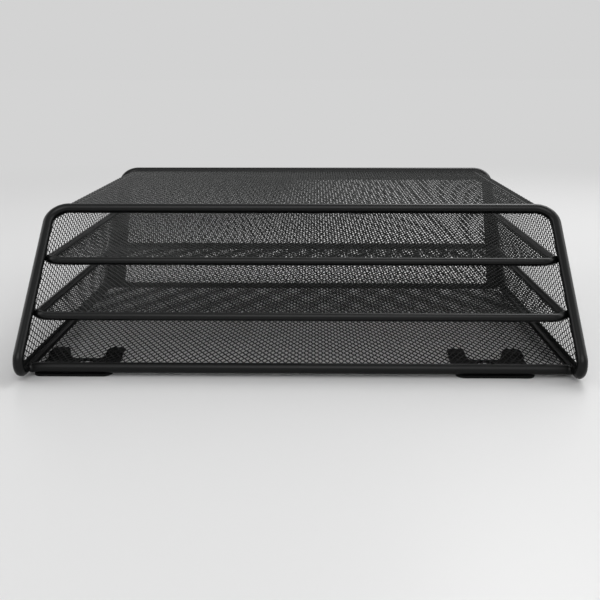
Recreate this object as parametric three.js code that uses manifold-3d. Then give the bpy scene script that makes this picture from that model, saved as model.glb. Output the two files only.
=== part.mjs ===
// Three-pocket wall file: a bent rod frame filled with diamond mesh sheets.
// Units are millimetres. The file lies on its back: X runs across it, Y runs
// from its open top to its floor, and Z runs from the wall side to the front.
import * as THREE from 'three';
import { mergeVertices } from 'three/addons/utils/BufferGeometryUtils.js';
import Module from 'manifold-3d';

// Overall frame, between rod centres
const frameWidth = 256;
const frameHeight = 66.6;
const slantSetback = 74.5;
const panelDepth = 180.5;

// Rods
const rodDiameter = 5;
const rodCornerRadius = 9.5;
const legBendRadius = 5;
const rearBendRadius = 8;
const crossRailDiameter = 5;
const crossRailY = 18.2;
const dividerRodDiameter = 4;
const dividerCornerRadius = 6.5;
const upperDividerHeight = 44.3;
const lowerDividerHeight = 22.8;

// Sheets and their diamond openings
const sheetThickness = 1;
const sheetMargin = 4.2;
const cellAcross = 19.5;
const cellAlong = 38;
const sideCellAlong = 26;
const strandWidth = 5;

// Keyhole hangers
const plateThickness = 1;
const hangerDepth = 36.5;
const padDepth = 25;
const padOverhang = 2.2;
const joggleLength = 3.5;
const innerProngWidth = 8.3;
const outerProngWidth = 11.6;
const prongTipWidth = 8;
const hangerWidth = 36.5;
const prongTipRadius = 2.5;
const padCornerRadius = 4;
const keyholeRadius = 4.4;
const keyholeSlotWidth = 4.6;
const keyholeSlotLength = 11;
const keyholeInset = 6.5;
const leftHangerInset = 3.5;
const rightHangerInset = 18.2;

// Spaces kept between pieces that touch on the real file
const clearance = 0.3;

// Facets
const rodSides = 12;
const dividerRodSides = 10;
const bendSteps = 5;
const foldSteps = 6;

const halfWidth = frameWidth / 2;
const rodRadius = rodDiameter / 2;
const crossRailRadius = crossRailDiameter / 2;
const dividerRodRadius = dividerRodDiameter / 2;
const slantLength = Math.hypot(slantSetback, frameHeight);
const slantSin = frameHeight / slantLength;
const slantCos = slantSetback / slantLength;
const slantPerHeight = slantSetback / frameHeight;

const wasm = await Module();
wasm.setup();

// Solids for the boolean cuts
function toSolid(geometry) {
  const bare = geometry.index ? geometry.toNonIndexed() : geometry.clone();
  bare.deleteAttribute('normal');
  bare.deleteAttribute('uv');
  const merged = mergeVertices(bare, 1e-4);
  return new wasm.Manifold(new wasm.Mesh({
    numProp: 3,
    vertProperties: new Float32Array(merged.attributes.position.array),
    triVerts: new Uint32Array(merged.index.array),
  }));
}

function toGeometry(solid) {
  const mesh = solid.getMesh();
  const geometry = new THREE.BufferGeometry();
  const position = new THREE.BufferAttribute(new Float32Array(mesh.vertProperties), 3);
  geometry.setAttribute('position', position);
  geometry.setIndex(new THREE.BufferAttribute(new Uint32Array(mesh.triVerts), 1));
  return geometry;
}

// A rod's path as a list of stations, so straight runs take one step and bends a few
class RodPath extends THREE.Curve {
  constructor(stations) {
    super();
    this.stations = stations;
  }

  stationAt(u) {
    return this.stations[Math.round(u * (this.stations.length - 1))];
  }

  getPoint(u, target = new THREE.Vector3()) {
    return target.copy(this.stationAt(u).point);
  }

  getPointAt(u, target = new THREE.Vector3()) {
    return this.getPoint(u, target);
  }

  getTangentAt(u, target = new THREE.Vector3()) {
    return target.copy(this.stationAt(u).tangent);
  }
}

// Rounds each inner corner of a path through the given points with its own bend radius
function bentStations(points, radii) {
  const first = points[1].clone().sub(points[0]).normalize();
  const stations = [{ point: points[0].clone(), tangent: first }];
  for (let i = 1; i < points.length - 1; i += 1) {
    const before = points[i].clone().sub(points[i - 1]).normalize();
    const after = points[i + 1].clone().sub(points[i]).normalize();
    const turn = before.angleTo(after);
    const axis = before.clone().cross(after).normalize();
    const reach = radii[i - 1] * Math.tan(turn / 2);
    const start = points[i].clone().addScaledVector(before, -reach);
    const inward = axis.clone().cross(before);
    const centre = start.clone().addScaledVector(inward, radii[i - 1]);
    for (let k = 0; k <= bendSteps; k += 1) {
      const angle = turn * k / bendSteps;
      const tangent = before.clone().applyAxisAngle(axis, angle);
      const outward = inward.clone().negate().applyAxisAngle(axis, angle);
      const point = centre.clone().addScaledVector(outward, radii[i - 1]);
      stations.push({ point, tangent });
    }
  }
  const last = points[points.length - 1];
  const end = last.clone().sub(points[points.length - 2]).normalize();
  stations.push({ point: last.clone(), tangent: end });
  return stations;
}

function bentRod(points, radii, radius, sides) {
  const section = new THREE.Shape();
  for (let k = 0; k < sides; k += 1) {
    const angle = 2 * Math.PI * k / sides;
    const x = radius * Math.cos(angle);
    const y = radius * Math.sin(angle);
    if (k === 0) {
      section.moveTo(x, y);
    } else {
      section.lineTo(x, y);
    }
  }
  section.closePath();
  const path = new RodPath(bentStations(points, radii));
  const steps = path.stations.length - 1;
  return new THREE.ExtrudeGeometry(section, { extrudePath: path, steps });
}

// Main frame rod: one closed loop, butt jointed in the middle of the rear top rail
function frameRod(radius) {
  const rearTop = panelDepth + slantSetback;
  const corners = [
    [-clearance / 2, rearTop, frameHeight],
    [-halfWidth, rearTop, frameHeight],
    [-halfWidth, panelDepth, 0],
    [-halfWidth, 0, 0],
    [-halfWidth, slantSetback, frameHeight],
    [halfWidth, slantSetback, frameHeight],
    [halfWidth, 0, 0],
    [halfWidth, panelDepth, 0],
    [halfWidth, rearTop, frameHeight],
    [clearance / 2, rearTop, frameHeight],
  ].map((p) => new THREE.Vector3(...p));
  const radii = [
    rodCornerRadius,
    rearBendRadius,
    legBendRadius,
    rodCornerRadius,
    rodCornerRadius,
    legBendRadius,
    rearBendRadius,
    rodCornerRadius,
  ];
  return bentRod(corners, radii, radius, rodSides);
}

function straightRod(length, radius, sides, y, z) {
  const rod = new THREE.CylinderGeometry(radius, radius, length, sides);
  rod.rotateZ(Math.PI / 2);
  return rod.translate(0, y, z);
}

const crossRailLength = frameWidth - 2 * (rodRadius + clearance);

function crossRail(length, radius) {
  return straightRod(length, radius, rodSides, crossRailY, 0);
}

// The space that a jointed rod needs, with its butt joint bridged
function rodSpace(rod, radius, sides, y, z) {
  const bridge = straightRod(4 * clearance, radius, sides, y, z);
  return toSolid(rod).add(toSolid(bridge));
}

// How far a divider's side rod stays inside the leg's centre, so its front corner
// just touches the leg: the largest need over the corner's quarter turn
function dividerInset() {
  const reach = rodRadius + dividerRodRadius + clearance;
  let inset = 0;
  for (let k = 0; k <= 90; k += 1) {
    const angle = k * Math.PI / 180;
    const behind = slantSin * dividerCornerRadius * (1 - Math.sin(angle));
    const across = Math.sqrt(Math.max(0, reach * reach - behind * behind));
    inset = Math.max(inset, across - dividerCornerRadius * (1 - Math.cos(angle)));
  }
  return inset;
}

const dividerHalfWidth = halfWidth - dividerInset();
const rearSeat = (dividerRodRadius + clearance + sheetThickness / 2) / slantSin;

function dividerFrontY(height) {
  return slantPerHeight * height;
}

function dividerRearY(height) {
  return panelDepth + slantPerHeight * height - rearSeat;
}

// Divider rod: a flat closed loop, butt jointed in the middle of its rear side
function dividerRod(height, radius) {
  const front = dividerFrontY(height);
  const rear = dividerRearY(height);
  const corners = [
    [-clearance / 2, rear, height],
    [-dividerHalfWidth, rear, height],
    [-dividerHalfWidth, front, height],
    [dividerHalfWidth, front, height],
    [dividerHalfWidth, rear, height],
    [clearance / 2, rear, height],
  ].map((p) => new THREE.Vector3(...p));
  const radii = [
    dividerCornerRadius,
    dividerCornerRadius,
    dividerCornerRadius,
    dividerCornerRadius,
  ];
  return bentRod(corners, radii, radius, dividerRodSides);
}

// Outline with a radius at each corner, a radius of 0 leaving it sharp
function roundedOutline(corners, radii) {
  const outline = [];
  corners.forEach((corner, i) => {
    const here = new THREE.Vector2(...corner);
    const last = new THREE.Vector2(...corners[(i + corners.length - 1) % corners.length]);
    const next = new THREE.Vector2(...corners[(i + 1) % corners.length]);
    if (radii[i] === 0) {
      outline.push(here);
      return;
    }
    const back = last.sub(here).normalize();
    const ahead = next.sub(here).normalize();
    const half = Math.acos(back.dot(ahead)) / 2;
    const bisector = back.clone().add(ahead).normalize();
    const centre = here.clone().addScaledVector(bisector, radii[i] / Math.sin(half));
    const start = here.clone().addScaledVector(back, radii[i] / Math.tan(half)).sub(centre);
    const end = here.clone().addScaledVector(ahead, radii[i] / Math.tan(half)).sub(centre);
    const turn = Math.sign(start.cross(end)) * (Math.PI - 2 * half);
    for (let k = 0; k <= bendSteps; k += 1) {
      const point = start.clone().rotateAround(new THREE.Vector2(), turn * k / bendSteps);
      outline.push(point.add(centre));
    }
  });
  return outline;
}

// Tells whether a point lies inside a convex outline by at least the given margin
function liesInside(point, corners, margin) {
  return corners.every((corner, i) => {
    const next = corners[(i + 1) % corners.length];
    const side = new THREE.Vector2(next[0] - corner[0], next[1] - corner[1]).normalize();
    const distance = side.x * (point.y - corner[1]) - side.y * (point.x - corner[0]);
    return distance >= margin - 1e-6;
  });
}

// Staggered diamonds, every one that fits whole inside the corners less the margin
function diamonds(corners, margin, cellU, cellV) {
  const us = corners.map((c) => c[0]);
  const vs = corners.map((c) => c[1]);
  const minU = Math.min(...us) + margin;
  const maxU = Math.max(...us) - margin;
  const minV = Math.min(...vs) + margin;
  const maxV = Math.max(...vs) - margin;
  const countU = Math.max(1, Math.round((maxU - minU) / cellU));
  const countV = Math.max(1, Math.round((maxV - minV) / cellV));
  const pitchU = (maxU - minU) / countU;
  const pitchV = (maxV - minV) / countV;
  const edgeDistance = pitchU * pitchV / 2 / Math.hypot(pitchU, pitchV);
  const share = 1 - strandWidth / 2 / edgeDistance;
  const reachU = share * pitchU / 2;
  const reachV = share * pitchV / 2;
  const shapes = [];
  for (let i = 0; i < 2 * countU - 1; i += 1) {
    for (let j = i % 2; j < 2 * countV - 1; j += 2) {
      const u = minU + (i + 1) * pitchU / 2;
      const v = minV + (j + 1) * pitchV / 2;
      const tips = [
        new THREE.Vector2(u - reachU, v),
        new THREE.Vector2(u, v - reachV),
        new THREE.Vector2(u + reachU, v),
        new THREE.Vector2(u, v + reachV),
      ];
      if (tips.every((tip) => liesInside(tip, corners, margin))) {
        shapes.push(new THREE.Shape(tips));
      }
    }
  }
  return shapes;
}

function slab(shapes, thickness) {
  const geometry = new THREE.ExtrudeGeometry(shapes, { depth: thickness, bevelEnabled: false });
  return geometry.translate(0, 0, -thickness / 2);
}

// A mesh sheet in its own plane, centred on its mid surface
function meshSheet(outline, window, margin, cellU, cellV) {
  const plain = toSolid(slab(new THREE.Shape(outline), sheetThickness));
  const holes = toSolid(slab(diamonds(window, margin, cellU, cellV), 2 * sheetThickness));
  return toGeometry(plain.subtract(holes));
}

function placed(geometry, axisU, axisV, origin) {
  const u = new THREE.Vector3(...axisU);
  const v = new THREE.Vector3(...axisV);
  const basis = new THREE.Matrix4().makeBasis(u, v, u.clone().cross(v));
  basis.setPosition(...origin);
  return geometry.clone().applyMatrix4(basis);
}

const frameRodSpace = rodSpace(
  frameRod(rodRadius + clearance),
  rodRadius + clearance,
  rodSides,
  panelDepth + slantSetback,
  frameHeight,
);
const crossRailSpace = toSolid(crossRail(frameWidth, crossRailRadius + clearance));
const windowInset = rodRadius + clearance + sheetMargin;

// Back panel: from behind the cross rail to the rear bottom edge
function backPanel() {
  const front = crossRailY;
  const rear = panelDepth + sheetThickness / 2;
  const corners = [
    [-halfWidth, front],
    [halfWidth, front],
    [halfWidth, rear],
    [-halfWidth, rear],
  ];
  const outline = roundedOutline(corners, [0, 0, 0, 0]);
  const sheet = meshSheet(outline, corners, windowInset, cellAcross, cellAlong);
  return toGeometry(toSolid(sheet).subtract(frameRodSpace).subtract(crossRailSpace));
}

// Floor of the pockets: a slanted sheet between the rear rods
function floorPanel() {
  const foot = (sheetThickness / 2 * (1 + slantCos) + clearance) / slantSin;
  const corners = [
    [-halfWidth, foot],
    [halfWidth, foot],
    [halfWidth, slantLength],
    [-halfWidth, slantLength],
  ];
  const outline = roundedOutline(corners, [0, 0, rodCornerRadius, rodCornerRadius]);
  const sheet = meshSheet(outline, corners, windowInset, cellAcross, cellAlong);
  const stood = placed(sheet, [1, 0, 0], [0, slantCos, slantSin], [0, panelDepth, 0]);
  return toGeometry(toSolid(stood).subtract(frameRodSpace));
}

// Front panel: flat sheet between the two top rails, as wide as the straight rails
function frontPanel() {
  const reach = halfWidth - rodCornerRadius - clearance / 2;
  const corners = [
    [-reach, slantSetback],
    [reach, slantSetback],
    [reach, slantSetback + panelDepth],
    [-reach, slantSetback + panelDepth],
  ];
  const window = [
    [-halfWidth, slantSetback],
    [halfWidth, slantSetback],
    [halfWidth, slantSetback + panelDepth],
    [-halfWidth, slantSetback + panelDepth],
  ];
  const outline = roundedOutline(corners, [0, 0, 0, 0]);
  const sheet = meshSheet(outline, window, rodCornerRadius + sheetMargin, cellAcross, cellAlong);
  const lifted = placed(sheet, [1, 0, 0], [0, 1, 0], [0, 0, frameHeight]);
  return toGeometry(toSolid(lifted).subtract(frameRodSpace));
}

// Folded edge between the front panel and a side: it follows the rods' corners, whose
// quarter circles lie in the slanted planes and so are lower than they are wide
function edgeFold(side) {
  const height = rodCornerRadius * slantSin;
  const outer = [];
  const inner = [];
  for (let k = 0; k <= foldSteps; k += 1) {
    const angle = Math.PI / 2 * k / foldSteps;
    const x = halfWidth - rodCornerRadius + rodCornerRadius * Math.sin(angle);
    const z = frameHeight - height + height * Math.cos(angle);
    const normal = new THREE.Vector2(height * Math.sin(angle), rodCornerRadius * Math.cos(angle));
    normal.setLength(sheetThickness / 2);
    outer.push(new THREE.Vector2(side * (x + normal.x), z + normal.y));
    inner.push(new THREE.Vector2(side * (x - normal.x), z - normal.y));
  }
  const section = new THREE.Shape([...outer, ...inner.reverse()]);
  const fold = new THREE.ExtrudeGeometry(section, { depth: panelDepth, bevelEnabled: false });
  const rearEnd = slantSetback + panelDepth;
  const laid = placed(fold, [1, 0, 0], [0, 0, 1], [0, rearEnd, 0]);
  const shear = new THREE.Matrix4().set(
    1, 0, 0, 0,
    0, 1, slantPerHeight, -slantSetback,
    0, 0, 1, 0,
    0, 0, 0, 1,
  );
  laid.applyMatrix4(shear);
  return toGeometry(toSolid(laid).subtract(frameRodSpace));
}

// Side panel: a slanted sheet between leg, run and rear rod, under the folded edge
function sidePanel(side) {
  const top = frameHeight - rodCornerRadius * slantSin - clearance;
  const corners = [
    [0, 0],
    [panelDepth, 0],
    [panelDepth + slantPerHeight * top, top],
    [slantPerHeight * top, top],
  ];
  const outline = roundedOutline(corners, [legBendRadius, rearBendRadius, 0, 0]);
  const sheet = meshSheet(outline, corners, windowInset, sideCellAlong, cellAcross);
  const stood = placed(sheet, [0, 1, 0], [0, 0, 1], [side * halfWidth, 0, 0]);
  return toGeometry(toSolid(stood).subtract(frameRodSpace));
}

// Divider sheet inside its rod loop
function dividerSheet(height) {
  const front = dividerFrontY(height);
  const rear = dividerRearY(height);
  const corners = [
    [-dividerHalfWidth, front],
    [dividerHalfWidth, front],
    [dividerHalfWidth, rear],
    [-dividerHalfWidth, rear],
  ];
  const radius = dividerCornerRadius;
  const outline = roundedOutline(corners, [radius, radius, radius, radius]);
  const inset = dividerRodRadius + clearance + sheetMargin;
  const sheet = meshSheet(outline, corners, inset, cellAcross, cellAlong);
  const lifted = placed(sheet, [1, 0, 0], [0, 1, 0], [0, 0, height]);
  const spaceRadius = dividerRodRadius + clearance;
  const rod = dividerRod(height, spaceRadius);
  const space = rodSpace(rod, spaceRadius, dividerRodSides, rear, height);
  return toGeometry(toSolid(lifted).subtract(space));
}

// Keyhole hanger: a stamped plate whose pad drops under the cross rail and whose two
// prongs lie on the back panel. It is the overlap of its plan and its side profile,
// and its outer edge keeps its inset from the run beside it.
function hanger(side, inset) {
  const innerX = halfWidth - inset - hangerWidth;
  const front = crossRailY - padOverhang;
  const padRear = front + padDepth;
  const tip = front + hangerDepth;
  const corners = [
    [0, front],
    [hangerWidth, front],
    [hangerWidth, tip],
    [hangerWidth - prongTipWidth, tip],
    [hangerWidth - outerProngWidth, padRear],
    [innerProngWidth, padRear],
    [innerProngWidth, tip],
    [0, tip],
  ];
  const tipRadius = prongTipRadius;
  const radii = [
    padCornerRadius,
    padCornerRadius,
    tipRadius,
    tipRadius,
    tipRadius,
    tipRadius,
    tipRadius,
    tipRadius,
  ];
  const plan = new THREE.Shape(roundedOutline(corners, radii));
  const holeX = (innerProngWidth + hangerWidth - outerProngWidth) / 2;
  const holeY = padRear - keyholeInset;
  const slotAngle = Math.asin(keyholeSlotWidth / 2 / keyholeRadius);
  const keyhole = new THREE.Path();
  keyhole.absarc(holeX, holeY, keyholeRadius, slotAngle - Math.PI / 2, 1.5 * Math.PI - slotAngle);
  keyhole.absarc(holeX, holeY - keyholeSlotLength, keyholeSlotWidth / 2, Math.PI, 2 * Math.PI);
  keyhole.closePath();
  plan.holes = [keyhole];
  const prism = new THREE.ExtrudeGeometry(plan, {
    depth: 2 * frameHeight,
    bevelEnabled: false,
    curveSegments: 10,
  });
  prism.translate(0, 0, -frameHeight);
  const prongTop = -(sheetThickness / 2 + clearance);
  const padTop = -(crossRailRadius + clearance);
  const rampEnd = padRear + joggleLength;
  const profile = new THREE.Shape([
    new THREE.Vector2(front - 1, padTop),
    new THREE.Vector2(front - 1, padTop - plateThickness),
    new THREE.Vector2(padRear, padTop - plateThickness),
    new THREE.Vector2(rampEnd, prongTop - plateThickness),
    new THREE.Vector2(tip + 1, prongTop - plateThickness),
    new THREE.Vector2(tip + 1, prongTop),
    new THREE.Vector2(rampEnd, prongTop),
    new THREE.Vector2(padRear, padTop),
  ]);
  const band = new THREE.ExtrudeGeometry(profile, {
    depth: hangerWidth + 2,
    bevelEnabled: false,
  });
  const across = placed(band, [0, 1, 0], [0, 0, 1], [-1, 0, 0]);
  const plate = toGeometry(toSolid(prism).intersect(toSolid(across)));
  plate.translate(innerX, 0, 0);
  if (side < 0) {
    plate.scale(-1, 1, 1);
    const index = plate.index.array;
    for (let i = 0; i < index.length; i += 3) {
      [index[i], index[i + 1]] = [index[i + 1], index[i]];
    }
  }
  return plate;
}

// Assembly
const rodFinish = new THREE.MeshStandardMaterial({
  color: 0x242427,
  roughness: 0.42,
  metalness: 0.25,
});
const sheetFinish = new THREE.MeshStandardMaterial({
  color: 0x39393b,
  roughness: 0.55,
  metalness: 0.25,
});
const plateFinish = new THREE.MeshStandardMaterial({
  color: 0x1e1e20,
  roughness: 0.5,
  metalness: 0.25,
});

const pieces = [
  ['frame_rod', frameRod(rodRadius), rodFinish],
  ['back_cross_rail', crossRail(crossRailLength, crossRailRadius), rodFinish],
  ['upper_divider_rod', dividerRod(upperDividerHeight, dividerRodRadius), rodFinish],
  ['lower_divider_rod', dividerRod(lowerDividerHeight, dividerRodRadius), rodFinish],
  ['upper_divider_mesh', dividerSheet(upperDividerHeight), sheetFinish],
  ['lower_divider_mesh', dividerSheet(lowerDividerHeight), sheetFinish],
  ['back_mesh', backPanel(), sheetFinish],
  ['floor_mesh', floorPanel(), sheetFinish],
  ['front_mesh', frontPanel(), sheetFinish],
  ['front_fold_left', edgeFold(-1), sheetFinish],
  ['front_fold_right', edgeFold(1), sheetFinish],
  ['side_mesh_left', sidePanel(-1), sheetFinish],
  ['side_mesh_right', sidePanel(1), sheetFinish],
  ['hanger_left', hanger(-1, leftHangerInset), plateFinish],
  ['hanger_right', hanger(1, rightHangerInset), plateFinish],
];

const group = new THREE.Group();
group.name = 'wall_file_organizer';
const bounds = new THREE.Box3();
for (const [name, geometry, finish] of pieces) {
  const mesh = new THREE.Mesh(geometry, finish);
  mesh.name = name;
  group.add(mesh);
  geometry.computeBoundingBox();
  bounds.union(geometry.boundingBox);
}

// The origin is the bottom centre of the whole file as it lies
const centre = bounds.getCenter(new THREE.Vector3());
for (const mesh of group.children) {
  mesh.geometry.translate(-centre.x, -centre.y, -bounds.min.z);
  mesh.geometry.computeVertexNormals();
}

export default group;
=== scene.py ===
"""Three-pocket wall file of black coated steel: bent rods filled with expanded diamond mesh."""
import math

import bmesh
import bpy
import numpy as np
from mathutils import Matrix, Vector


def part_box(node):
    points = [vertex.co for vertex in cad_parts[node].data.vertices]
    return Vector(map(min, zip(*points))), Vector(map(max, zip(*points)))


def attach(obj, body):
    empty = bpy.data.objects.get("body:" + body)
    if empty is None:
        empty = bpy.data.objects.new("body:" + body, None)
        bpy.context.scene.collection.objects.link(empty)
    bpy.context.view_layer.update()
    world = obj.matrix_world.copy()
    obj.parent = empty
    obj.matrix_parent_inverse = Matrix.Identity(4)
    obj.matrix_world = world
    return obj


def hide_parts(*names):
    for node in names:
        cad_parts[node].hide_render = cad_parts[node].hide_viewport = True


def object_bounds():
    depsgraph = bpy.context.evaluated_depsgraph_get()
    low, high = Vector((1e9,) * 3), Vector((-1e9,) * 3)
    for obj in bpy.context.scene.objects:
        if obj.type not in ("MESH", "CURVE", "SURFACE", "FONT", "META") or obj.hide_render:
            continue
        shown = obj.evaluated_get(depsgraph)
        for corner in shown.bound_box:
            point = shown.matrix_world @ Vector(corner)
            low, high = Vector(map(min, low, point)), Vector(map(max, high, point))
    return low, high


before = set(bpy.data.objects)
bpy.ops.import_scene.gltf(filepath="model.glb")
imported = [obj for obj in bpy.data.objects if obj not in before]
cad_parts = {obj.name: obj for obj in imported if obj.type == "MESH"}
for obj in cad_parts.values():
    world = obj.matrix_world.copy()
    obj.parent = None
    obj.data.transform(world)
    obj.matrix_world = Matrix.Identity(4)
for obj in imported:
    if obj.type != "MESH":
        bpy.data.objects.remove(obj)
cad_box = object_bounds()

# Frame rod. One steel rod, 5 mm thick, is bent into the outline of both slanted ends and
# both bottom runs, butt welded behind the rear top rail and coated black with the rest.

MM = 0.001
ROD_RADIUS = 2.5 * MM
ROD_CORNER = 9.5 * MM
# The centre lines of a leg and a bottom run would meet this far in front of the tight bend.
FOOT_POINT = 5.58 * MM
LEG_BEND = 5 * MM
REAR_BEND = 8 * MM
PANEL_DEPTH = 180.5 * MM
ROD_SIDES = 28
BEND_STEPS = 12
SMOOTH_ANGLE = math.radians(35)
TONE_SPAN = 18 * MM
PEEL_HEIGHT = 0.05 * MM

low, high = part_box("frame_rod")
HALF_WIDTH = high.x - ROD_RADIUS
BOTTOM_Z = low.z + ROD_RADIUS
TOP_Z = high.z - ROD_RADIUS
REAR_TOP_Y = high.y - ROD_RADIUS
HEIGHT = TOP_Z - BOTTOM_Z
FRONT_Y = low.y - FOOT_POINT
SLANT = (REAR_TOP_Y - PANEL_DEPTH - FRONT_Y) / HEIGHT


def linear(hex_colour):
    """An sRGB hex colour as linear red, green, blue and alpha."""
    parts = np.array([int(hex_colour[i:i + 2], 16) for i in (1, 3, 5)]) / 255
    low_part, high_part = parts / 12.92, ((parts + 0.055) / 1.055) ** 2.4
    return (*np.where(parts <= 0.04045, low_part, high_part).tolist(), 1.0)


def add_node(material, kind, links=None, **settings):
    """Adds a node, sets its properties and input values, and links inputs to other sockets."""
    made = material.node_tree.nodes.new(kind)
    for name, value in settings.items():
        setattr(made, name, value)
    for name, value in (links or {}).items():
        if isinstance(value, bpy.types.NodeSocket):
            material.node_tree.links.new(value, made.inputs[name])
        else:
            made.inputs[name].default_value = value
    return made


def coated_steel(name, colour, worn_colour, roughness, shine, grain, bump):
    """Powder-coated steel: a fine orange peel in the bump and a slight change of tone."""
    material = bpy.data.materials.new(name)
    material.use_nodes = True
    material.node_tree.nodes.clear()
    place = add_node(material, "ShaderNodeTexCoord").outputs["Object"]
    peel = add_node(material, "ShaderNodeTexNoise", {
        "Vector": place, "Scale": 1 / grain, "Detail": 2.0, "Roughness": 0.5})
    tone = add_node(material, "ShaderNodeTexNoise", {
        "Vector": place, "Scale": 1 / TONE_SPAN, "Detail": 3.0, "Roughness": 0.6})
    mixed = add_node(material, "ShaderNodeMix", {
        0: tone.outputs["Fac"], 6: linear(colour), 7: linear(worn_colour)}, data_type="RGBA")
    raised = add_node(material, "ShaderNodeBump", {
        "Height": peel.outputs["Fac"], "Strength": bump, "Distance": PEEL_HEIGHT})
    shader = add_node(material, "ShaderNodeBsdfPrincipled", {
        "Base Color": mixed.outputs[2], "Normal": raised.outputs["Normal"],
        "Roughness": roughness, "IOR": 1.5, "Specular IOR Level": shine})
    add_node(material, "ShaderNodeOutputMaterial", {"Surface": shader.outputs["BSDF"]})
    return material


def new_piece(name, points, faces, material, slot, smooth=True):
    """A mesh object at the origin, smooth where its faces turn by less than 35 degrees.

    Open rings, at a tube's ends and a bead's poles, are closed by one face each."""
    mesh = bpy.data.meshes.new(name)
    mesh.from_pydata(points.tolist(), [], faces.tolist())
    edit = bmesh.new()
    edit.from_mesh(mesh)
    rim = [edge for edge in edit.edges if edge.is_boundary]
    bmesh.ops.holes_fill(edit, edges=rim, sides=0)
    edit.to_mesh(mesh)
    edit.free()
    mesh.materials.append(material)
    mesh.polygons.foreach_set("use_smooth", np.full(len(mesh.polygons), smooth))
    if smooth:
        mesh.set_sharp_from_angle(angle=SMOOTH_ANGLE)
    mesh.validate()
    piece = bpy.data.objects.new(name, mesh)
    bpy.context.scene.collection.objects.link(piece)
    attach(piece, "root")
    return piece


def bent_path(corners, radii, closed):
    """Centre line through the corners, each rounded by an arc of its own radius.

    An arc starts at its corner less radius times the tangent of half the turn, and a point
    on it is start + inward * r * (1 - cos a) + ahead * r * sin a."""
    corners = np.array(corners, float)
    bends = corners if closed else corners[1:-1]
    before = bends - (np.roll(corners, 1, 0) if closed else corners[:-2])
    after = (np.roll(corners, -1, 0) if closed else corners[2:]) - bends
    before /= np.linalg.norm(before, axis=1, keepdims=True)
    after /= np.linalg.norm(after, axis=1, keepdims=True)
    cosine = (before * after).sum(1, keepdims=True)
    inward = after - cosine * before
    inward /= np.linalg.norm(inward, axis=1, keepdims=True)
    turn = np.arccos(np.clip(cosine, -1, 1))
    radius = np.array(radii, float)[:, None]
    start = bends - before * radius * np.tan(turn / 2)
    angle = turn * np.linspace(0, 1, BEND_STEPS + 1)
    across = (radius * (1 - np.cos(angle)))[:, :, None] * inward[:, None]
    ahead = (radius * np.sin(angle))[:, :, None] * before[:, None]
    points = (start[:, None] + across + ahead).reshape(-1, 3)
    tangents = (np.cos(angle)[:, :, None] * before[:, None]
                + np.sin(angle)[:, :, None] * inward[:, None]).reshape(-1, 3)
    if not closed:
        points = np.vstack([corners[:1], points, corners[-1:]])
        tangents = np.vstack([before[:1], tangents, after[-1:]])
    return points, tangents


def tube(points, tangents, radius, sides, closed):
    """A circle carried along the path, turned as little as possible from ring to ring.

    On a closed path the leftover twist is shared out over the whole length. Radius is one
    number, or one for each ring."""
    count = len(points)
    radius = np.broadcast_to(np.asarray(radius, float), (count,))
    normals = np.zeros((count, 3))
    seed = np.array([0.3, 0.5, 0.8])
    normals[0] = seed - seed @ tangents[0] * tangents[0]
    normals[0] /= np.linalg.norm(normals[0])
    for k in range(1, count):
        normals[k] = normals[k - 1] - normals[k - 1] @ tangents[k] * tangents[k]
        normals[k] /= np.linalg.norm(normals[k])
    sides_out = np.cross(tangents, normals)
    twist = np.zeros(count)
    if closed:
        last = normals[-1] - normals[-1] @ tangents[0] * tangents[0]
        left_over = math.atan2(last @ sides_out[0], last @ normals[0])
        twist = -left_over * np.arange(count) / count
    angle = np.linspace(0, 2 * np.pi, sides, endpoint=False)[None] + twist[:, None]
    rings = (points[:, None] + radius[:, None, None] * (
        np.cos(angle)[:, :, None] * normals[:, None]
        + np.sin(angle)[:, :, None] * sides_out[:, None]))
    row = np.arange(count if closed else count - 1)[:, None]
    column = np.arange(sides)[None]
    here, there = row * sides, (row + 1) % count * sides
    beside = (column + 1) % sides
    faces = np.stack([here + column, here + beside, there + beside, there + column], -1)
    return rings.reshape(-1, 3), faces.reshape(-1, 4)


# Semi-gloss black powder coat on smooth rod: it keeps soft, clear highlights.
ROD_COAT = coated_steel("black_powder_coat_rod", "#060707", "#0a0b0b", 0.32, 0.22,
                        0.6 * MM, 0.12)


def leg_y(z):
    """Where the centre line of a front leg is at height z; the rear rods are parallel."""
    return FRONT_Y + SLANT * (z - BOTTOM_Z)


ring_corners = [
    (-HALF_WIDTH, REAR_TOP_Y, TOP_Z),
    (-HALF_WIDTH, REAR_TOP_Y - SLANT * HEIGHT, BOTTOM_Z),
    (-HALF_WIDTH, FRONT_Y, BOTTOM_Z),
    (-HALF_WIDTH, leg_y(TOP_Z), TOP_Z),
    (HALF_WIDTH, leg_y(TOP_Z), TOP_Z),
    (HALF_WIDTH, FRONT_Y, BOTTOM_Z),
    (HALF_WIDTH, REAR_TOP_Y - SLANT * HEIGHT, BOTTOM_Z),
    (HALF_WIDTH, REAR_TOP_Y, TOP_Z),
]
ring_bends = [ROD_CORNER, REAR_BEND, LEG_BEND, ROD_CORNER,
              ROD_CORNER, LEG_BEND, REAR_BEND, ROD_CORNER]
ring = bent_path(ring_corners, ring_bends, True)
rod = new_piece("bent_frame_rod", *tube(*ring, ROD_RADIUS, ROD_SIDES, True), ROD_COAT,
                "rod_steel")
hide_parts("frame_rod")

# Cross rail. A straight rod of the same steel closes the back panel near its open end,
# welded at each end to the bottom runs, which leaves a small bead at each joint.

BEAD = (1.9 * MM, 3.0 * MM, 2.4 * MM)
BEAD_INSET = 2.6 * MM
BEAD_COLUMNS = 20
BEAD_ROWS = 12
BEAD_POLE = 0.02

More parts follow.
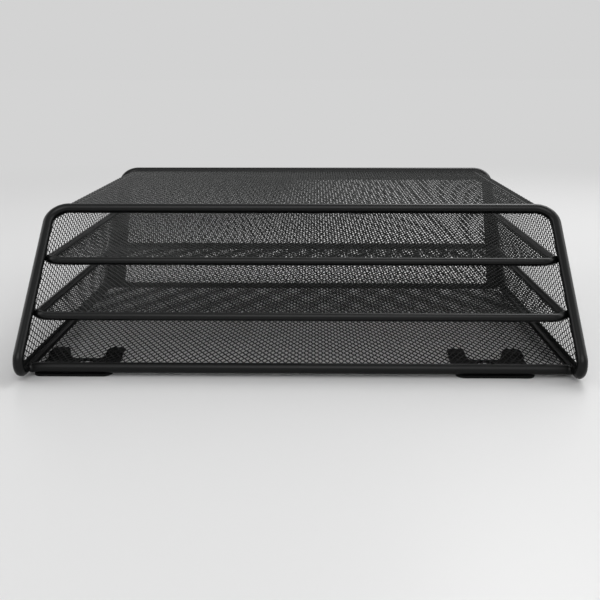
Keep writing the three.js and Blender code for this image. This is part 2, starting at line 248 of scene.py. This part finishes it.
# The rail's ends are pressed thinner where they are welded, and a small ridge of coat is
# left in the middle: each pair is a share of half the width and a share of the radius.
RAIL_PROFILE = np.array([(-1, 0.78), (-0.985, 0.86), (-0.96, 0.95), (-0.9, 1), (0, 1),
                         (0.0035, 1.05), (0.007, 1), (0.9, 1), (0.96, 0.95),
                         (0.985, 0.86), (1, 0.78)])


def joined(*parts):
    """Several point and face arrays as one."""
    offsets = np.cumsum([0] + [len(points) for points, _ in parts[:-1]])
    return (np.vstack([points for points, _ in parts]),
            np.vstack([faces + offset for (_, faces), offset in zip(parts, offsets)]))


def weld_bead(centre, size):
    """A lump of weld: a sphere of longitude u and latitude v, stretched to size.

    Its radius is 1 + 0.08 * sin(3u + 1.3) * sin(2v) + 0.05 * cos(5u - v)."""
    u, v = np.meshgrid(np.linspace(0, 2 * np.pi, BEAD_COLUMNS, endpoint=False),
                       np.linspace(BEAD_POLE, np.pi - BEAD_POLE, BEAD_ROWS), indexing="ij")
    swell = 1 + 0.08 * np.sin(3 * u + 1.3) * np.sin(2 * v) + 0.05 * np.cos(5 * u - v)
    points = np.stack([np.cos(u) * np.sin(v), np.sin(u) * np.sin(v), np.cos(v)], -1)
    points = (points * swell[:, :, None] * np.array(size) + np.array(centre)).reshape(-1, 3)
    column, row = np.meshgrid(np.arange(BEAD_COLUMNS), np.arange(BEAD_ROWS - 1), indexing="ij")
    here, there = column * BEAD_ROWS + row, (column + 1) % BEAD_COLUMNS * BEAD_ROWS + row
    faces = np.stack([here, here + 1, there + 1, there], -1)
    return points, faces.reshape(-1, 4)


low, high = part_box("back_cross_rail")
rail_y = (low.y + high.y) / 2
rail_z = (low.z + high.z) / 2
rail_radius = (high.z - low.z) / 2
rail_path = np.array([(share * HALF_WIDTH, rail_y, rail_z) for share in RAIL_PROFILE[:, 0]])
rail_ahead = np.tile([1.0, 0.0, 0.0], (len(rail_path), 1))
rail = tube(rail_path, rail_ahead, RAIL_PROFILE[:, 1] * rail_radius, ROD_SIDES, False)
beads = [weld_bead((side * (HALF_WIDTH - BEAD_INSET), rail_y, rail_z), BEAD)
         for side in (-1, 1)]
cross_rail = new_piece("welded_cross_rail", *joined(rail, *beads), ROD_COAT, "rod_steel")
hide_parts("back_cross_rail")

# Divider rods. Each divider is edged by a 4 mm rod bent to a flat loop, whose two front
# corners are welded to the inner sides of the legs and two rear ones to the rear rods.

DIVIDER_ROD_RADIUS = 2 * MM
DIVIDER_CORNER = 6.5 * MM
DIVIDER_SIDES = 24
DIVIDER_BEAD = (1.6 * MM, 2.0 * MM, 2.0 * MM)
DIVIDER_BEAD_OUT = 0.9 * MM
FRONT_BEAD_BACK, REAR_BEAD_FORWARD = 5.2 * MM, 3.5 * MM

for level in ("upper", "lower"):
    low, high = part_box(f"{level}_divider_rod")
    height = (low.z + high.z) / 2
    reach = high.x - DIVIDER_ROD_RADIUS
    front, rear = low.y + DIVIDER_ROD_RADIUS, high.y - DIVIDER_ROD_RADIUS
    loop = bent_path([(-reach, rear, height), (-reach, front, height),
                      (reach, front, height), (reach, rear, height)],
                     [DIVIDER_CORNER] * 4, True)
    loop = tube(*loop, DIVIDER_ROD_RADIUS, DIVIDER_SIDES, True)
    beads = [weld_bead((side * (reach + DIVIDER_BEAD_OUT), y, height), DIVIDER_BEAD)
             for side in (-1, 1) for y in (front + FRONT_BEAD_BACK, rear - REAR_BEAD_FORWARD)]
    divider_rod = new_piece(f"{level}_divider_loop", *joined(loop, *beads), ROD_COAT,
                            "rod_steel")
    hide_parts(f"{level}_divider_rod")

# Mesh sheets. Thin steel is slit and stretched into diamonds, so each strand is a tilted
# strip joined to its neighbours at bonds; a plain border is left along every edge.

SHEET = 0.3 * MM
STRAND = 0.55 * MM
STRAND_TILT = math.radians(48)
CELL_SHORT = 3.31 * MM
# The share of a strand's run that is bonded, how far a strand's section overlaps its
# neighbour's there, and how far its ends run in under the plain border.
BOND_SHARE = 0.16
BOND_OVERLAP = 1.03
UNDER_BORDER = 0.8 * MM
WINDOW_CORNER = 2 * MM
CORNER_STEPS = 6
SIDE_POINTS = 8
SHARP_CORNER = 0.02 * MM


def rounded_loop(corners, radii):
    """Outline points: a short arc at each corner, and more along each straight side.

    A corner's arc has its centre on the bisector, radius / sin(half the corner) away, and
    starts and ends radius / tan(half the corner) along the two sides."""
    corners = np.array(corners, float)
    back = np.roll(corners, 1, 0) - corners
    ahead = np.roll(corners, -1, 0) - corners
    back /= np.linalg.norm(back, axis=1, keepdims=True)
    ahead /= np.linalg.norm(ahead, axis=1, keepdims=True)
    half = np.arccos(np.clip((back * ahead).sum(1), -1, 1)) / 2
    radius = np.maximum(np.array(radii, float), SHARP_CORNER)
    bisector = back + ahead
    bisector /= np.linalg.norm(bisector, axis=1, keepdims=True)
    centre = corners + bisector * (radius / np.sin(half))[:, None]
    start = corners + back * (radius / np.tan(half))[:, None] - centre
    end = corners + ahead * (radius / np.tan(half))[:, None] - centre
    turn = np.arctan2(start[:, 0] * end[:, 1] - start[:, 1] * end[:, 0],
                      (start * end).sum(1))
    angle = turn[:, None] * np.linspace(0, 1, CORNER_STEPS + 1)[None]
    x = np.cos(angle) * start[:, :1] - np.sin(angle) * start[:, 1:]
    y = np.sin(angle) * start[:, :1] + np.cos(angle) * start[:, 1:]
    arcs = np.stack([x, y], -1) + centre[:, None]
    share = np.linspace(0, 1, SIDE_POINTS + 2)[1:-1][None, :, None]
    sides = arcs[:, -1:] * (1 - share) + np.roll(arcs, -1, 0)[:, :1] * share
    return np.concatenate([arcs, sides], 1).reshape(-1, 2)


def border(outline, window):
    """The plain border: a flat ring between two loops of equal count, as thick as the sheet.

    Its four edges are outer bottom, outer top, inner top and inner bottom, in this order."""
    half = SHEET / 2
    count = len(outline)
    levels = [(outline, -half), (outline, half), (window, half), (window, -half)]
    points = np.vstack([np.column_stack([loop, np.full(count, z)]) for loop, z in levels])
    edge, step = np.meshgrid(np.arange(4), np.arange(count), indexing="ij")
    beyond, nxt = (edge + 1) % 4, (step + 1) % count
    faces = np.stack([edge * count + step, edge * count + nxt,
                      beyond * count + nxt, beyond * count + step], -1)
    return points, faces.reshape(-1, 4)


def strands(window, cell_long, tilt, strand):
    """Expanded mesh over a four-sided window, as one zigzag strip for each strand.

    Strand i runs along v at u = (i + 1/2) * short / 2. It swings by (-1)^i * A * zigzag(v),
    where A is a quarter of the short cell less half the strand's width seen from above, so
    that it touches each neighbour in turn. Its height swings the other way, because at a
    bond both strands lie in one slanted plane. The section is a rectangle tilted about v."""
    window = np.array(window, float)
    u_low, u_high = window[:, 0].min(), window[:, 0].max()
    count = int(round((u_high - u_low) / (CELL_SHORT / 2)))
    pitch = (u_high - u_low) / count
    index = np.arange(count)
    u = u_low + (index + 0.5) * pitch
    ahead = np.roll(window, -1, 0)
    v_low, v_high = np.full(count, np.inf), np.full(count, -np.inf)
    for (u0, v0), (u1, v1) in zip(window, ahead):
        if abs(u1 - u0) > 1e-9:
            share = (u - u0) / (u1 - u0)
            hit = (share >= 0) & (share <= 1)
            v = v0 + share * (v1 - v0)
            v_low = np.where(hit, np.minimum(v_low, v), v_low)
            v_high = np.where(hit, np.maximum(v_high, v), v_high)
    v_low, v_high = v_low - UNDER_BORDER, v_high + UNDER_BORDER
    bond = BOND_SHARE * cell_long / 2
    first = math.floor(v_low.min() / cell_long) - 1
    last = math.ceil(v_high.max() / cell_long) + 1
    bonds = np.arange(2 * first, 2 * last)
    marks = (bonds[:, None] * cell_long / 2 + np.array([-bond / 2, bond / 2])[None]).ravel()
    wave = np.repeat(np.where(bonds % 2 == 0, 1.0, -1.0), 2)
    stations = np.clip(marks[None], v_low[:, None], v_high[:, None])
    swing = np.interp(stations.ravel(), marks, wave).reshape(stations.shape)
    swing *= np.where(index % 2 == 0, 1.0, -1.0)[:, None]
    amplitude = pitch / 2 - strand / 2 * math.cos(tilt)
    middle_u = u[:, None] + amplitude * swing
    middle_z = -strand / 2 * math.sin(tilt) * swing
    wide = np.array([math.cos(tilt), math.sin(tilt)]) * strand / 2 * BOND_OVERLAP
    thick = np.array([-math.sin(tilt), math.cos(tilt)]) * SHEET / 2
    section = np.array([-wide - thick, wide - thick, wide + thick, -wide + thick])
    points = np.stack([
        middle_u[:, :, None] + section[None, None, :, 0],
        np.broadcast_to(stations[:, :, None], (*stations.shape, 4)),
        middle_z[:, :, None] + section[None, None, :, 1]], -1)
    rows, columns = stations.shape
    base = (np.arange(rows)[:, None] * columns + np.arange(columns - 1)[None]) * 4
    side = np.arange(4)
    beside = (side + 1) % 4
    faces = np.stack([
        base[:, :, None] + side, base[:, :, None] + beside,
        base[:, :, None] + beside + 4, base[:, :, None] + side + 4], -1)
    used = np.diff(stations, axis=1) > 1e-7
    first_used = used.argmax(1)
    last_used = columns - 2 - used[:, ::-1].argmax(1)
    ends = np.vstack([
        (np.arange(rows) * columns + first_used)[:, None] * 4 + np.array([3, 2, 1, 0]),
        (np.arange(rows) * columns + last_used + 1)[:, None] * 4 + np.arange(4)])
    faces = np.vstack([faces[used].reshape(-1, 4), ends])[:, ::-1]
    kept = np.unique(faces)
    return points.reshape(-1, 3)[kept], np.searchsorted(kept, faces)


def laid(part, origin, axis_u, axis_v):
    """Puts a part made flat in u, v and height into place; height is along u cross v."""
    points, faces = part
    basis = np.array([axis_u, axis_v, np.cross(axis_u, axis_v)], float)
    return points @ basis + np.array(origin, float), faces


def mesh_sheet(outline, radii, window, window_radius, cell_long, tilt, strand=STRAND):
    """A flat sheet: plain border and strands, in u, v and height."""
    outer = rounded_loop(outline, radii)
    inner = rounded_loop(window, [window_radius] * 4)
    return joined(border(outer, inner), strands(window, cell_long, tilt, strand))


# The coat is duller on the sheets, and its colour is painted lighter here: a painted sheen for
# the light that the strands and their cut edges catch.
SHEET_COAT_PAINTED_SHEEN = coated_steel("black_powder_coat_sheet_painted_sheen", "#181a19", "#1f2120", 0.42, 0.31,
                          0.5 * MM, 0.1)

# Dividers. Each loop is filled with the same mesh, welded round its edge to the rod, and
# its plain border is only a few millimetres wide.

DIVIDER_BORDER = 2.2 * MM
DIVIDER_SIDE_BORDER = 0.5 * MM
CELL_LONG = 6.2 * MM

for level in ("upper", "lower"):
    low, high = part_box(f"{level}_divider_rod")
    height = (low.z + high.z) / 2
    reach = high.x - DIVIDER_ROD_RADIUS
    front, rear = low.y + DIVIDER_ROD_RADIUS, high.y - DIVIDER_ROD_RADIUS
    inset = DIVIDER_ROD_RADIUS + DIVIDER_BORDER
    half = reach - DIVIDER_ROD_RADIUS - DIVIDER_SIDE_BORDER
    outline = [(-reach, front), (reach, front), (reach, rear), (-reach, rear)]
    window = [(-half, front + inset), (half, front + inset),
              (half, rear - inset), (-half, rear - inset)]
    sheet = mesh_sheet(outline, [DIVIDER_CORNER] * 4, window, WINDOW_CORNER, CELL_LONG,
                       STRAND_TILT)
    divider = new_piece(f"{level}_divider_sheet", *laid(
        sheet, (0, 0, height), (1, 0, 0), (0, 1, 0)), SHEET_COAT_PAINTED_SHEEN, "mesh_steel", smooth=False)
    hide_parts(f"{level}_divider_mesh")

# Back panel. The mesh that lies against the wall, between the cross rail and the fold to
# the floor, is welded to the bottom runs and to the rail.

BORDER = 3 * MM
BACK_BORDER = 1 * MM
BACK_TILT = math.radians(7)
BACK_STRAND = 0.52 * MM

# The strands lie flatter here and face the table, so the same coat is painted blacker: painted
# shade for the light these strands do not get.
BACK_COAT_PAINTED_SHADE = coated_steel("black_powder_coat_back_painted_shade", "#0b0c0c", "#101111", 0.45, 0.12,
                         0.5 * MM, 0.1)
rear_foot = REAR_TOP_Y - SLANT * HEIGHT
inset = ROD_RADIUS + BORDER
outline = [(-HALF_WIDTH, rail_y), (HALF_WIDTH, rail_y), (HALF_WIDTH, rear_foot),
           (-HALF_WIDTH, rear_foot)]
back_side = HALF_WIDTH - ROD_RADIUS - BACK_BORDER
window = [(-back_side, rail_y + ROD_RADIUS), (back_side, rail_y + ROD_RADIUS),
          (back_side, rear_foot - BORDER), (-back_side, rear_foot - BORDER)]
sheet = mesh_sheet(outline, [0, 0, REAR_BEND, REAR_BEND], window, WINDOW_CORNER, CELL_LONG,
                   BACK_TILT, BACK_STRAND)
back_panel = new_piece("back_panel_sheet", *laid(
    sheet, (0, 0, rail_z), (1, 0, 0), (0, 1, 0)), BACK_COAT_PAINTED_SHADE, "mesh_steel", smooth=False)
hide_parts("back_mesh")

# Floor. The same sheet is folded up to close the lower end of the pockets, and slants
# parallel to the legs; its window narrows a little towards the fold.

CELL_FLOOR = 5.4 * MM
FLOOR_CORNER = 3 * MM
FOLD_INSETS = (12 * MM, 10 * MM)
TOP_INSETS = (5.5 * MM, 4.2 * MM)
TOP_BORDER = 8 * MM
slope = np.array([0, SLANT, 1.0])
slope /= np.linalg.norm(slope)
length = HEIGHT / slope[2]
outline = [(-HALF_WIDTH, 0), (HALF_WIDTH, 0), (HALF_WIDTH, length), (-HALF_WIDTH, length)]
window = [(-HALF_WIDTH + FOLD_INSETS[0], BORDER), (HALF_WIDTH - FOLD_INSETS[1], BORDER),
          (HALF_WIDTH - TOP_INSETS[1], length - TOP_BORDER),
          (-HALF_WIDTH + TOP_INSETS[0], length - TOP_BORDER)]
sheet = mesh_sheet(outline, [0, 0, ROD_CORNER, ROD_CORNER], window, FLOOR_CORNER, CELL_FLOOR,
                   STRAND_TILT)
floor_panel = new_piece("pocket_floor_sheet", *laid(
    sheet, (0, rear_foot, BOTTOM_Z), (1, 0, 0), slope), SHEET_COAT_PAINTED_SHEEN, "mesh_steel",
    smooth=False)
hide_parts("floor_mesh")

# Front and sides. One meshed sheet is folded over both top corners: the wide front panel,
# two folds that follow the bends of the rod, and two side panels down to the bottom runs.

FOLD_LENGTH = 12.4 * MM
FOLD_BORDER = 0.2 * MM
FRONT_MARGIN = 0.3 * MM
SIDE_BORDER = 1.2 * MM
SIDE_CORNER = 1.5 * MM
SIDE_CELL = 5.4 * MM
SIDE_STRAND = 0.52 * MM
SIDE_TILT = math.radians(36)
top_inset = ROD_CORNER + FRONT_MARGIN
fold_height = ROD_CORNER * slope[2]
flat = HALF_WIDTH - ROD_CORNER
front = leg_y(TOP_Z)
outline = [(-flat, front), (flat, front), (flat, REAR_TOP_Y), (-flat, REAR_TOP_Y)]
window = [(-HALF_WIDTH + top_inset, front + inset), (HALF_WIDTH - top_inset, front + inset),
          (HALF_WIDTH - top_inset, REAR_TOP_Y - inset),
          (-HALF_WIDTH + top_inset, REAR_TOP_Y - inset)]
sheet = mesh_sheet(outline, [0] * 4, window, WINDOW_CORNER, CELL_LONG, STRAND_TILT)
front_panel = new_piece("front_panel_sheet", *laid(
    sheet, (0, 0, TOP_Z), (1, 0, 0), (0, 1, 0)), SHEET_COAT_PAINTED_SHEEN, "mesh_steel", smooth=False)
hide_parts("front_mesh")


def folded(part, side):
    """Bends a sheet made flat in u, v and height over the folded edge.

    u runs down a quarter ellipse, as wide as the rod's corner and lower by the slant, at
    an even share of its angle; height stands on the ellipse's normal. Strand ends that run
    on under the border stay within a tenth of the fold past its edges."""
    points, faces = part
    angle = np.clip(points[:, 0] / FOLD_LENGTH, -0.1, 1.1) * np.pi / 2
    x = HALF_WIDTH - ROD_CORNER + ROD_CORNER * np.sin(angle)
    z = TOP_Z - fold_height + fold_height * np.cos(angle)
    normal = np.stack([fold_height * np.sin(angle), ROD_CORNER * np.cos(angle)], -1)
    normal *= points[:, 2:] / np.linalg.norm(normal, axis=1, keepdims=True)
    place = np.stack([side * (x + normal[:, 0]), points[:, 1], z + normal[:, 1]], -1)
    return place, faces[:, ::-1] if side < 0 else faces


for side, word in ((-1, "left"), (1, "right")):
    low_y = leg_y(TOP_Z - fold_height)
    outline = [(0, front), (FOLD_LENGTH, low_y), (FOLD_LENGTH, low_y + PANEL_DEPTH),
               (0, front + PANEL_DEPTH)]
    near, far = FOLD_BORDER, FOLD_LENGTH - FOLD_BORDER
    window = [(near, front + inset), (far, low_y + inset),
              (far, low_y + PANEL_DEPTH - inset), (near, front + PANEL_DEPTH - inset)]
    sheet = mesh_sheet(outline, [0] * 4, window, 0, CELL_LONG, STRAND_TILT * side)
    fold = new_piece(f"front_fold_sheet_{word}", *folded(sheet, side), SHEET_COAT_PAINTED_SHEEN,
                     "mesh_steel", smooth=False)
    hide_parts(f"front_fold_{word}")
    top = HEIGHT - fold_height
    outline = [(0, FRONT_Y), (top, FRONT_Y + SLANT * top),
               (top, FRONT_Y + SLANT * top + PANEL_DEPTH), (0, FRONT_Y + PANEL_DEPTH)]
    across = inset / slope[2]
    lower, upper = ROD_RADIUS + SIDE_BORDER, top - FOLD_BORDER
    lower_y, upper_y = FRONT_Y + SLANT * lower, FRONT_Y + SLANT * upper
    window = [(lower, lower_y + across), (upper, upper_y + across),
              (upper, upper_y + PANEL_DEPTH - across), (lower, lower_y + PANEL_DEPTH - across)]
    sheet = mesh_sheet(outline, [LEG_BEND, 0, 0, REAR_BEND], window, SIDE_CORNER, SIDE_CELL,
                       SIDE_TILT * side, SIDE_STRAND)
    origin, up = (side * HALF_WIDTH, 0, BOTTOM_Z), (0, 0, 1)
    panel = new_piece(f"side_panel_sheet_{word}", *laid(sheet, origin, up, (0, 1, 0)),
                      SHEET_COAT_PAINTED_SHEEN, "mesh_steel", smooth=False)
    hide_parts(f"side_mesh_{word}")

# Keyhole hangers. Two stamped plates are joggled from under the cross rail up to the back
# panel; the same coat covers them, and their edges are only lightly rounded.

PLATE_COAT = coated_steel("black_powder_coat_plate", "#090a0a", "#0d0e0e", 0.5, 0.14,
                          0.5 * MM, 0.1)
EDGE_ROUND = 0.2 * MM

for word in ("left", "right"):
    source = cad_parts[f"hanger_{word}"]
    mesh = source.data.copy()
    mesh.materials.clear()
    plate = bpy.data.objects.new(f"keyhole_hanger_{word}", mesh)
    bpy.context.scene.collection.objects.link(plate)
    mesh.materials.append(PLATE_COAT)
    weld = plate.modifiers.new("merged", "WELD")
    weld.merge_threshold = 0.01 * MM
    bevel = plate.modifiers.new("rounded", "BEVEL")
    bevel.width = EDGE_ROUND
    bevel.segments = 2
    bevel.limit_method = "ANGLE"
    bevel.angle_limit = SMOOTH_ANGLE
    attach(plate, "root")
    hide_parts(f"hanger_{word}")

# Table. A wide pale table under the file. Away from the file the camera and reflections see
# it fade to the plain colour of the surround, and near the file it keeps the shadow.

TABLE_REACH = 30.0
SHADOW_NEAR, SHADOW_FAR = 0.35, 1.0
table_z = cad_box[0].z


def pale_surface(name, near, far, start, end):
    """Pale laminate with a faint sheen: shaded near the file and plain from start to end."""
    material = bpy.data.materials.new(name)
    material.use_nodes = True
    material.node_tree.nodes.clear()
    place = add_node(material, "ShaderNodeTexCoord").outputs["Object"]
    away = add_node(material, "ShaderNodeVectorMath", {0: place}, operation="LENGTH")
    share = add_node(material, "ShaderNodeMapRange", {
        "Value": away.outputs["Value"], "From Min": start, "From Max": end})
    share.interpolation_type = "SMOOTHSTEP"
    seen = add_node(material, "ShaderNodeLightPath")
    either = add_node(material, "ShaderNodeMath", {
        0: seen.outputs["Is Camera Ray"], 1: seen.outputs["Is Glossy Ray"]},
        operation="MAXIMUM")
    factor = add_node(material, "ShaderNodeMath", {
        0: share.outputs["Result"], 1: either.outputs["Value"]}, operation="MULTIPLY")
    matt = add_node(material, "ShaderNodeBsdfPrincipled", {
        "Base Color": linear(near), "Roughness": 0.35, "IOR": 1.5, "Specular IOR Level": 0.3})
    plain = add_node(material, "ShaderNodeEmission", {"Color": linear(far), "Strength": 1.0})
    mixed = add_node(material, "ShaderNodeMixShader", {0: factor.outputs["Value"]})
    material.node_tree.links.new(matt.outputs["BSDF"], mixed.inputs[1])
    material.node_tree.links.new(plain.outputs["Emission"], mixed.inputs[2])
    add_node(material, "ShaderNodeOutputMaterial", {"Surface": mixed.outputs["Shader"]})
    return material


TABLE_TOP = pale_surface("pale_table", "#dedede", "#d4d4d4", SHADOW_NEAR, SHADOW_FAR)
table_mesh = bpy.data.meshes.new("table")
table_corners = [(x * TABLE_REACH, y * TABLE_REACH, table_z)
                 for x, y in ((-1, -1), (1, -1), (1, 1), (-1, 1))]
table_mesh.from_pydata(table_corners, [], [(0, 1, 2, 3)])
table_mesh.materials.append(TABLE_TOP)
table = bpy.data.objects.new("table", table_mesh)
bpy.context.scene.collection.objects.link(table)

# Light. Four soft boxes stand in front, behind to the right and at both sides, and the
# surround is dim, a little brighter above and behind, so the rods' fronts stay dark. The
# camera and reflections see the surround as a plain pale backdrop.

SURROUND_BACK, SURROUND_FRONT = 0.45, 0.15
UP_AND_BACK = (0.0, 0.75, 0.66)

world = bpy.data.worlds.new("studio")
bpy.context.scene.world = world
world.use_nodes = True
world.node_tree.nodes.clear()
ways = add_node(world, "ShaderNodeLightPath")
seen = add_node(world, "ShaderNodeMath", {
    0: ways.outputs["Is Camera Ray"], 1: ways.outputs["Is Glossy Ray"]},
    operation="MAXIMUM")
shown = add_node(world, "ShaderNodeMath", {
    0: seen.outputs["Value"], 1: ways.outputs["Is Transmission Ray"]},
    operation="MAXIMUM")
direction = add_node(world, "ShaderNodeTexCoord").outputs["Generated"]
toward = add_node(world, "ShaderNodeVectorMath", {0: direction, 1: UP_AND_BACK},
                  operation="DOT_PRODUCT")
level = add_node(world, "ShaderNodeMapRange", {
    "Value": toward.outputs["Value"], "From Min": -0.5, "From Max": 0.7,
    "To Min": SURROUND_FRONT, "To Max": SURROUND_BACK})
lit = add_node(world, "ShaderNodeBackground", {
    "Color": linear("#ffffff"), "Strength": level.outputs["Result"]})
pale = add_node(world, "ShaderNodeBackground", {"Color": linear("#d3d3d3"), "Strength": 1.0})
either = add_node(world, "ShaderNodeMixShader", {0: shown.outputs["Value"]})
world.node_tree.links.new(lit.outputs["Background"], either.inputs[1])
world.node_tree.links.new(pale.outputs["Background"], either.inputs[2])
add_node(world, "ShaderNodeOutputWorld", {"Surface": either.outputs["Shader"]})


def soft_box(name, place, size, power):
    """A square area lamp at place, turned to face the file at the origin."""
    lamp = bpy.data.lights.new(name, "AREA")
    lamp.shape = "SQUARE"
    lamp.size = size
    lamp.energy = power
    holder = bpy.data.objects.new(name, lamp)
    holder.location = place
    x, y, z = place
    holder.rotation_euler = (math.atan2(math.hypot(x, y), z), 0, math.atan2(x, -y))
    bpy.context.scene.collection.objects.link(holder)


soft_box("front_soft_box", (0.0, -0.95, 0.9), 0.9, 6.4)
soft_box("rear_soft_box", (0.5, 0.75, 1.1), 0.8, 8.5)
soft_box("left_soft_box", (-1.0, 0.1, 0.55), 0.8, 2.5)
soft_box("right_soft_box", (1.0, 0.1, 0.55), 0.8, 3.0)

# Camera. It stands half a metre from the middle of the file, in front of the open top and
# a little above it, and looks slightly down into the pockets.

CAMERA_PLACE = (0.0076, -0.5019, 0.1360)
YAW, PITCH, ROLL = math.radians(1.03), math.radians(-14.34), math.radians(0.07)
FOCAL_PIXELS, FRAME_PIXELS, SENSOR = 878, 600, 36.0

camera = bpy.data.cameras.new("camera")
camera.sensor_width = SENSOR
camera.lens = FOCAL_PIXELS / FRAME_PIXELS * SENSOR
camera.clip_start = 0.01
stand = bpy.data.objects.new("camera", camera)
stand.location = CAMERA_PLACE
stand.rotation_mode = "XYZ"
stand.rotation_euler = (math.pi / 2 + PITCH, ROLL, YAW)
bpy.context.scene.collection.objects.link(stand)
bpy.context.scene.camera = stand
bpy.context.scene.view_settings.view_transform = "Standard"
